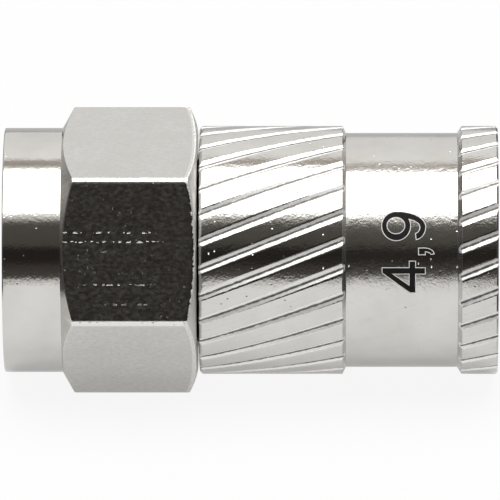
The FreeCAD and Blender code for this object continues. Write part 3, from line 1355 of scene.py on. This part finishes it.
@dataclass(frozen=True)
class SizeNumber:
    """Plain number on the band: the diameter in millimetres of the cable's insulation, 4,9.

    It reads upwards for someone who holds the nut at their left. Places in a character are given from its
    left edge and its baseline.

    Attributes:
        height: height of a digit.
        stroke: width of a stroke.
        baseline: distance from the nut's mouth to the digits' feet.
        starts: places of the 4, the comma and the 9 round the band, from the line at camera_side.
        rim: width of the pale rim round the ink.
        radius: radius of the band.
        ink_thickness: thickness of the ink.
        camera_side: angle of the band's line that faces the camera, from +Y towards +Z.
        reach: half of the length round the band that is cut into slices, so that the ink can bend.
        slice_width: width of a slice.
        merge_distance: distance below which two points of the ink become one.
    """

    height: float = 1.85
    stroke: float = 0.245
    baseline: float = 18.46
    starts: tuple[float, float, float] = (-1.892, -0.215, 0.419)
    rim: float = 0.035
    radius: float = 5.15
    ink_thickness: float = 0.004
    camera_side: float = 149.13
    reach: float = 2.0
    slice_width: float = 0.08
    merge_distance: float = 1e-5

    def four(self) -> list[list[Point]]:
        """Give the 4.

        Returns:
            Its outline and its hole.
        """
        width, stem_left, bar_low = 1.384, 0.85, 0.423
        stem_right, bar_high = stem_left + self.stroke, bar_low + self.stroke
        outline = [
            (stem_left, 0.0),
            (stem_right, 0.0),
            (stem_right, bar_low),
            (width, bar_low),
            (width, bar_high),
            (stem_right, bar_high),
            (stem_right, self.height),
            (stem_left + 0.04, self.height),
            (0.0, bar_high - 0.02),
            (0.0, bar_low),
            (stem_left, bar_low),
        ]
        hole = [(0.29, bar_high), (stem_left, bar_high), (stem_left, 1.45)]
        return [outline, hole]

    @staticmethod
    def comma() -> list[list[Point]]:
        """Give the comma.

        Returns:
            Its outline.
        """
        left, dot, tail_angle = 0.02, 0.26, -82.0
        outer = arc((left, 0.0), (dot, 0.39), 0.0, tail_angle, 6)
        inner = arc((left, 0.0), (0.13, 0.27), tail_angle, 0.0, 6)
        return [[(left, 0.0), (left, dot), (left + dot, dot), *outer, *inner]]

    @staticmethod
    def nine() -> list[list[Point]]:
        """Give the 9, whose tail hooks to the left.

        Returns:
            Its outline and its hole.
        """
        bowl, bowl_radii = (0.6315, 1.2545), (0.6315, 0.6155)
        hole, hole_radii = (0.649, 1.2645), (0.383, 0.41)
        tail, tail_radii, tail_inner = (0.59, 1.2), (0.673, 1.22), (0.423, 1.0)
        hook, hook_radii, hook_inner = (0.59, 0.43), (0.545, 0.45), (0.30, 0.23)
        outline = [
            *arc(hook, hook_radii, -172.0, -95.0, 8),
            *arc(tail, tail_radii, -90.0, 0.0, 12),
            *arc(bowl, bowl_radii, 5.0, 302.5, 32),
            *arc(tail, tail_inner, -30.0, -90.0, 8),
            *arc(hook, hook_inner, -95.0, -172.0, 8),
        ]
        return [outline, arc(hole, hole_radii, 0.0, 350.0, 28)]

    def _solid(self, outlines: list[list[Point]], widen: float) -> bpy.types.Mesh:
        """Fill a character's outlines and give them the ink's thickness.

        Args:
            outlines: the outline, then its holes.
            widen: how far the outline is pushed outwards.

        Returns:
            A flat closed mesh.
        """
        curve = bpy.data.curves.new("size_outline", "CURVE")
        curve.dimensions, curve.fill_mode = "2D", "BOTH"
        curve.extrude, curve.offset = self.ink_thickness / 2, widen
        for points in outlines:
            spline = curve.splines.new("POLY")
            spline.points.add(len(points) - 1)
            for target, (right, up) in zip(spline.points, points):
                target.co = (right, up, 0.0, 1.0)
            spline.use_cyclic_u = True
        holder = link_object("size_outline", curve)
        bpy.context.view_layer.update()
        mesh = bpy.data.meshes.new_from_object(holder)
        bpy.data.objects.remove(holder)
        return mesh

    def _wrapped(self, name: str, widen: float, lift: float) -> bpy.types.Object:
        """Wrap the three characters round the band.

        Args:
            name: the piece's name.
            widen: how far the outlines are pushed outwards.
            lift: distance from the band to the middle of the ink.

        Returns:
            The new piece.
        """
        foot = node_span("coupling_nut")[0] + self.baseline
        mesh = bpy.data.meshes.new(name)
        with editing(mesh) as work:
            for outlines, start in zip((self.four(), self.comma(), self.nine()), self.starts):
                moved = [[(right + start, up) for right, up in points] for points in outlines]
                work.from_mesh(self._solid(moved, widen))
            bmesh.ops.remove_doubles(work, verts=work.verts, dist=self.merge_distance)
            for cut in np.arange(-self.reach, self.reach, self.slice_width):
                everything = work.verts[:] + work.edges[:] + work.faces[:]
                bmesh.ops.bisect_plane(work, geom=everything, plane_co=(cut, 0.0, 0.0), plane_no=(1, 0, 0))
            bmesh.ops.triangulate(work, faces=work.faces)
            for vertex in work.verts:
                right, up, out = vertex.co
                angle = math.radians(self.camera_side) - right / self.radius
                radius = self.radius + lift + out
                vertex.co = Vector((foot - up, radius * math.cos(angle), radius * math.sin(angle))) * MM
            bmesh.ops.recalc_face_normals(work, faces=work.faces)
        return link_object(name, mesh)

    def build(self) -> None:
        """Print the number and its pale rim on the band, and dress them."""
        black = InkFinish("size_ink", (0.006, 0.006, 0.006), (0.022, 0.021, 0.02))
        pale = InkFinish("size_rim", (0.8, 0.79, 0.77), (0.62, 0.61, 0.59))
        rim = self._wrapped("size_number_rim", self.rim, self.ink_thickness / 4)
        dress(rim, Body.CONNECTOR, pale)
        ink = self._wrapped("size_number", 0.0, self.ink_thickness)
        dress(ink, Body.CONNECTOR, black)


@dataclass(frozen=True)
class FloorZone:
    """Part of the floor that metal mirrors with its own light.

    Attributes:
        start: place where it begins.
        end: place where it is full.
        share: share of plain light in the floor there.
        strength: strength of that light, where 1 is white.
    """

    start: float
    end: float
    share: float
    strength: float = 1.0


@dataclass(frozen=True)
class Studio:
    """Pale floor, soft studio light and the photograph's camera.

    Attributes:
        camera_elevation: degrees above the floor, which faces one side of the hexagon.
        camera_turn: degrees towards the cable's end.
        camera_distance: millimetres from the connector.
        frame_width: millimetres seen across the picture.
        frame_centre: place along the axis at the picture's centre, from the nut's mouth.
        frame_drop: millimetres from the axis down to the picture's centre.
        floor_glow: share of plain white in the floor that the camera sees.
        mirrored_glow: share of plain white in the floor that metal mirrors, close in front of the connector.
        front_zone: the mirrored floor further in front.
        under_zone: the mirrored floor under the connector.
        far_zone: the mirrored floor behind it.
        side_zone: the mirrored floor beyond its two ends, by the distance from the frame's origin.
        softbox: how much the light over the connector adds.
        softbox_edges: degrees over the front horizon where that light starts, is full, and starts and stops
            fading.
        softbox_ends: sideways parts of the direction where it ends and is full.
        side_share: sideways parts of the direction where the side zones start to count and count alone.
        zones: light over the connector, from the front horizon over the top to the back, in rows of degrees,
            red, green and blue.
        side_zones: light beyond the connector's two ends, from the horizon to the top, in rows of 180 times
            the height of the direction, red, green and blue.
    """

    camera_elevation: float = 30.87
    camera_turn: float = 0.55
    camera_distance: float = 500.0
    frame_width: float = 22.03
    frame_centre: float = 10.784
    frame_drop: float = 0.005
    sensor_width: float = 36.0
    floor_radius: float = 4000.0
    floor_colour: Colour = (0.62, 0.62, 0.62)
    floor_glow: float = 0.9
    mirrored_glow: float = 0.62
    front_zone: FloorZone = FloorZone(-10.0, -25.0, 0.8)
    under_zone: FloorZone = FloorZone(-4.4, -2.6, 0.45)
    far_zone: FloorZone = FloorZone(6.0, 26.0, 0.85, 0.5)
    side_zone: FloorZone = FloorZone(16.0, 26.0, 0.96, 0.06)
    softbox: float = 2.2
    softbox_edges: tuple[float, float, float, float] = (65.0, 68.0, 111.0, 114.0)
    softbox_ends: Point = (0.6, 0.36)
    side_share: Point = (0.42, 0.8)
    zones: LightRows = (
        (0.0, 0.95, 0.94, 0.92),
        (2.0, 0.8, 0.78, 0.76),
        (4.0, 0.075, 0.068, 0.062),
        (15.0, 0.055, 0.048, 0.043),
        (20.0, 0.024, 0.020, 0.018),
        (31.0, 0.020, 0.017, 0.015),
        (36.0, 0.08, 0.075, 0.066),
        (56.5, 0.092, 0.086, 0.076),
        (60.5, 0.58, 0.56, 0.53),
        (65.0, 1.1, 1.1, 1.05),
        (68.0, 1.5, 1.5, 1.5),
        (111.0, 1.5, 1.5, 1.5),
        (114.0, 0.9, 0.86, 0.8),
        (118.0, 0.41, 0.375, 0.335),
        (124.0, 0.44, 0.41, 0.37),
        (127.0, 1.06, 1.05, 1.03),
        (151.0, 0.965, 0.96, 0.945),
        (180.0, 0.86, 0.85, 0.835),
    )
    side_zones: LightRows = (
        (0.0, 0.035, 0.033, 0.031),
        (45.0, 0.08, 0.077, 0.074),
        (90.0, 0.24, 0.234, 0.227),
        (130.0, 0.66, 0.65, 0.64),
        (180.0, 1.1, 1.1, 1.1),
    )

    def camera(self) -> None:
        """Place the camera square to the connector's axis."""
        elevation, turn = math.radians(self.camera_elevation), math.radians(self.camera_turn)
        mouth, _ = node_span("coupling_nut")
        up = Vector((0.0, math.sin(elevation), math.cos(elevation)))
        towards = Vector((0.0, -math.cos(elevation), math.sin(elevation)))
        back = Vector((math.sin(turn), 0.0, 0.0)) + towards * math.cos(turn)
        target = Vector((mouth + self.frame_centre, 0.0, 0.0)) - up * self.frame_drop
        place = (target + back * self.camera_distance) * MM
        data = bpy.data.cameras.new("photo_camera")
        data.sensor_width = self.sensor_width
        data.lens = self.sensor_width * self.camera_distance / self.frame_width
        data.clip_start, data.clip_end = 0.01, 20.0
        camera = link_object("photo_camera", data)
        axes = Matrix((up.cross(back), up, back)).transposed()
        camera.matrix_world = Matrix.Translation(place) @ axes.to_4x4()
        bpy.context.scene.camera = camera

    def floor(self) -> None:
        """Lay a pale floor under the nut's lowest flat."""
        low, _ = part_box("coupling_nut")
        mesh = bpy.data.meshes.new("pale_floor")
        with editing(mesh) as work:
            bmesh.ops.create_circle(work, cap_ends=True, segments=64, radius=self.floor_radius * MM)
        mesh.materials.append(self.floor_material())
        floor = link_object("pale_floor", mesh)
        floor.location = (0.0, 0.0, low.z)

    def floor_material(self) -> bpy.types.Material:
        """Make the floor's material, which the camera and the metal see with different light.

        Returns:
            A matt grey with plain light added for camera rays and mirrored rays.
        """
        material = bpy.data.materials.new("pale_floor")
        tree = NodeTree.of(material)
        path = tree.add("ShaderNodeLightPath").outputs
        mirrored = tree.math("MAXIMUM", path["Is Glossy Ray"], path["Is Transmission Ray"])
        along, across, _ = tree.split(tree.millimetres())
        beside = tree.math("ABSOLUTE", along)
        share, strength = self.mirrored_glow, 1.0
        zones = [(zone, across) for zone in (self.front_zone, self.under_zone, self.far_zone)]
        for zone, place in [*zones, (self.side_zone, beside)]:
            inside = tree.fade(place, zone.start, zone.end)
            share = tree.mix(inside, share, zone.share)
            strength = tree.mix(tree.product(inside, mirrored), strength, zone.strength)
        seen = tree.product(path["Is Camera Ray"], self.floor_glow)
        lit = tree.math("MAXIMUM", seen, tree.product(mirrored, share))
        matt = tree.add("ShaderNodeBsdfDiffuse", {"Color": self.floor_colour}).outputs["BSDF"]
        glow = tree.add("ShaderNodeEmission", {"Strength": strength}).outputs["Emission"]
        tree.show(tree.add("ShaderNodeMixShader", {0: lit, 1: matt, 2: glow}).outputs["Shader"])
        return material

    def light(self) -> None:
        """Light the connector from a world with a soft overhead light, a pale backdrop and a dim front."""
        world = bpy.data.worlds.new("soft_studio")
        bpy.context.scene.world = world
        tree = NodeTree.of(world)
        x, y, z = tree.split(tree.add("ShaderNodeTexCoord").outputs["Generated"])
        sideways = tree.math("ABSOLUTE", x)
        over = tree.math("ARCTAN2", z, tree.product(y, -1.0))
        above = self._ramp(tree, tree.math("DIVIDE", over, math.pi), self.zones)
        aside = self._ramp(tree, z, self.side_zones)
        around = tree.mix(tree.fade(sideways, *self.side_share), above, aside)
        box = tree.span(over, *(math.radians(edge) for edge in self.softbox_edges))
        box = tree.product(box, tree.fade(sideways, *self.softbox_ends))
        strength = tree.math("MULTIPLY_ADD", box, self.softbox, 1.0)
        lit = tree.add("ShaderNodeBackground", {"Color": around, "Strength": strength}).outputs[0]
        plain = tree.add("ShaderNodeBackground").outputs[0]
        seen = tree.add("ShaderNodeLightPath").outputs["Is Camera Ray"]
        chosen = tree.add("ShaderNodeMixShader", {0: seen, 1: lit, 2: plain}).outputs["Shader"]
        tree.show(chosen, "ShaderNodeOutputWorld")

    @staticmethod
    def _ramp(tree: NodeTree, place: Socket, rows: LightRows) -> Socket:
        """Read a colour off a ramp.

        Args:
            tree: the world's nodes.
            place: place along the ramp, from 0 to 1.
            rows: rows of degrees out of 180, red, green and blue.

        Returns:
            The colour.
        """
        node = tree.add("ShaderNodeValToRGB", {"Fac": place})
        elements = node.color_ramp.elements
        while len(elements) > 1:
            elements.remove(elements[-1])
        for index, (degrees, *colour) in enumerate(rows):
            element = elements.new(degrees / 180.0) if index else elements[0]
            element.position = degrees / 180.0
            element.color = (*colour, 1.0)
        return node.outputs["Color"]

    def build(self) -> None:
        """Set up the camera, floor, light and colour management."""
        self.camera()
        self.floor()
        self.light()
        bpy.context.scene.view_settings.view_transform = "Standard"


def main() -> None:
    """Build the connector piece by piece, then the studio."""
    logging.basicConfig(level=logging.INFO, format="%(name)s: %(message)s")
    for part in (CouplingNut(), CompressionSleeve(), InnerPost(), NutSeal(), SizeNumber(), Studio()):
        LOG.info("building %s", type(part).__name__)
        part.build()


if __name__ == "__main__":
    main()
